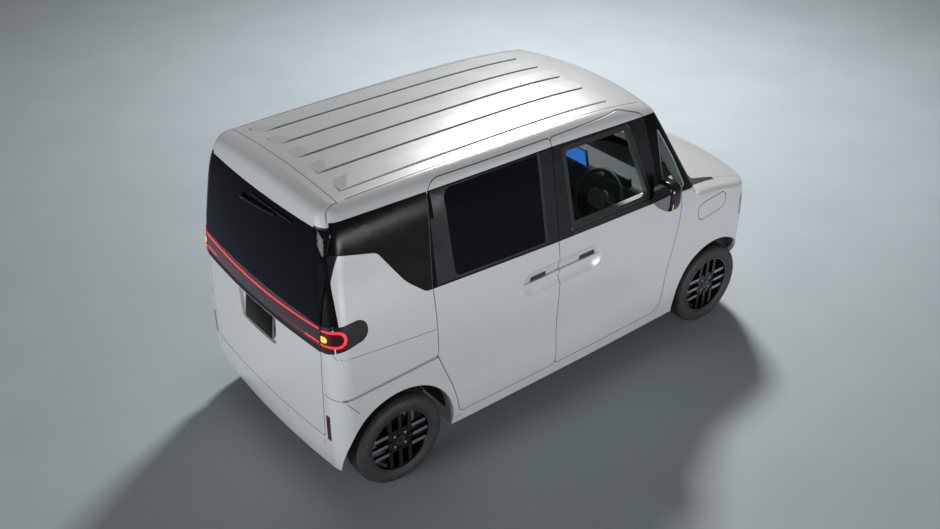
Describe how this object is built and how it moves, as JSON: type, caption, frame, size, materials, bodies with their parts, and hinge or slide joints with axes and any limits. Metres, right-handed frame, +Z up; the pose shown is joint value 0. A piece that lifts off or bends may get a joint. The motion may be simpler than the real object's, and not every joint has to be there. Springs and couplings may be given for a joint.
{
  "type": "kei car",
  "caption": "Tall light car with hinged front doors, sliding rear doors, roof-hinged tailgate, opening bonnet, charging lid, steered front wheels and turning road wheels.",
  "frame": {"origin": "on the ground, midway along the length and the width", "axes": "+X towards the front, +Y to the car's left, +Z up"},
  "size_m": [3.3956, 1.744, 1.7999],
  "materials": {
    "body_paint": "gloss",
    "black_gloss": "gloss",
    "black_plastic": "satin",
    "clear_glass": "gloss",
    "privacy_glass": "gloss",
    "lamp_cover": "gloss",
    "red_lamp": "gloss",
    "tyre": "matte",
    "wheel_alloy": "satin",
    "underbody": "satin",
    "cast_alloy": "matte",
    "interior_dark": "matte",
    "seat_fabric": "matte"
  },
  "bodies": {
    "body": {"battery": "underbody", "body_side_left": "body_paint", "body_side_right": "body_paint", "charge_port": "black_plastic", "cowl": "black_plastic", "dashboard": "interior_dark", "drive_unit": "cast_alloy", "floor_pan": "underbody", "front_bumper": "body_paint", "front_fender_left": "body_paint", "front_fender_right": "body_paint", "front_frame": "underbody", "front_grille": "black_plastic", "front_liners": "black_plastic", "front_seats": "seat_fabric", "headlamps": "lamp_cover", "pillar_trims": "black_gloss", "quarter_windows": "clear_glass", "rear_axle": "underbody", "rear_bumper": "body_paint", "rear_liners": "black_plastic", "rear_panel": "body_paint", "rear_quarter_trims": "black_gloss", "rear_seat": "seat_fabric", "reflectors": "red_lamp", "roof_panel": "body_paint", "sliding_door_left": "body_paint", "sliding_door_right": "body_paint", "sliding_door_windows": "privacy_glass", "steering_wheel": "interior_dark", "subframe": "underbody", "tail_lamps": "red_lamp", "windscreen": "clear_glass"},
    "door_left": {"front_door_left": "body_paint", "front_door_glass_left": "clear_glass", "front_door_trim_left": "black_gloss", "mirror_left": "black_gloss"},
    "knuckle_left": {"knuckle_left": "underbody"},
    "wheel_front_left": {"tyre_front_left": "tyre", "rim_front_left": "wheel_alloy"},
    "wheel_rear_left": {"tyre_rear_left": "tyre", "rim_rear_left": "wheel_alloy"},
    "door_right": {"front_door_right": "body_paint", "front_door_glass_right": "clear_glass", "front_door_trim_right": "black_gloss", "mirror_right": "black_gloss"},
    "knuckle_right": {"knuckle_right": "underbody"},
    "wheel_front_right": {"tyre_front_right": "tyre", "rim_front_right": "wheel_alloy"},
    "wheel_rear_right": {"tyre_rear_right": "tyre", "rim_rear_right": "wheel_alloy"},
    "tailgate": {"tailgate": "body_paint", "tailgate_glass": "privacy_glass", "tail_lamp_bar": "lamp_cover"},
    "bonnet": {"bonnet": "body_paint"},
    "charge_lid": {"charge_lid": "body_paint"}
  },
  "joints": [
    {"name": "door_left_hinge", "type": "hinge", "parent": "body", "child": "door_left", "pos_m": [0.869, 0.7375, 0.7], "axis": [0, 0, -1], "range_deg": [0, 65]},
    {"name": "steer_left", "type": "hinge", "parent": "body", "child": "knuckle_left", "pos_m": [1.25, 0.59, 0.18], "axis": [0, -0.1736, 0.9848], "range_deg": [-35, 35]},
    {"name": "wheel_front_left_spin", "type": "hinge", "parent": "knuckle_left", "child": "wheel_front_left", "pos_m": [1.25, 0.6375, 0.281], "axis": [0, 1, 0], "continuous": true},
    {"name": "wheel_rear_left_spin", "type": "hinge", "parent": "body", "child": "wheel_rear_left", "pos_m": [-1.27, 0.6375, 0.281], "axis": [0, 1, 0], "continuous": true},
    {"name": "door_right_hinge", "type": "hinge", "parent": "body", "child": "door_right", "pos_m": [0.869, -0.7375, 0.7], "axis": [0, 0, 1], "range_deg": [0, 65]},
    {"name": "steer_right", "type": "hinge", "parent": "body", "child": "knuckle_right", "pos_m": [1.25, -0.59, 0.18], "axis": [0, 0.1736, 0.9848], "range_deg": [-35, 35]},
    {"name": "wheel_front_right_spin", "type": "hinge", "parent": "knuckle_right", "child": "wheel_front_right", "pos_m": [1.25, -0.6375, 0.281], "axis": [0, 1, 0], "continuous": true},
    {"name": "wheel_rear_right_spin", "type": "hinge", "parent": "body", "child": "wheel_rear_right", "pos_m": [-1.27, -0.6375, 0.281], "axis": [0, 1, 0], "continuous": true},
    {"name": "tailgate_hinge", "type": "hinge", "parent": "body", "child": "tailgate", "pos_m": [-1.4695, 0, 1.786], "axis": [0, 1, 0], "range_deg": [0, 85]},
    {"name": "bonnet_hinge", "type": "hinge", "parent": "body", "child": "bonnet", "pos_m": [1.1145, 0, 1.11], "axis": [0, -1, 0], "range_deg": [0, 55]},
    {"name": "charge_lid_hinge", "type": "hinge", "parent": "body", "child": "charge_lid", "pos_m": [1.3125, -0.7285, 0.92], "axis": [0, 0, 1], "range_deg": [0, 95]}
  ],
  "couplings": [
    {"joint": "steer_right", "follows": "steer_left", "ratio": 1}
  ]
}
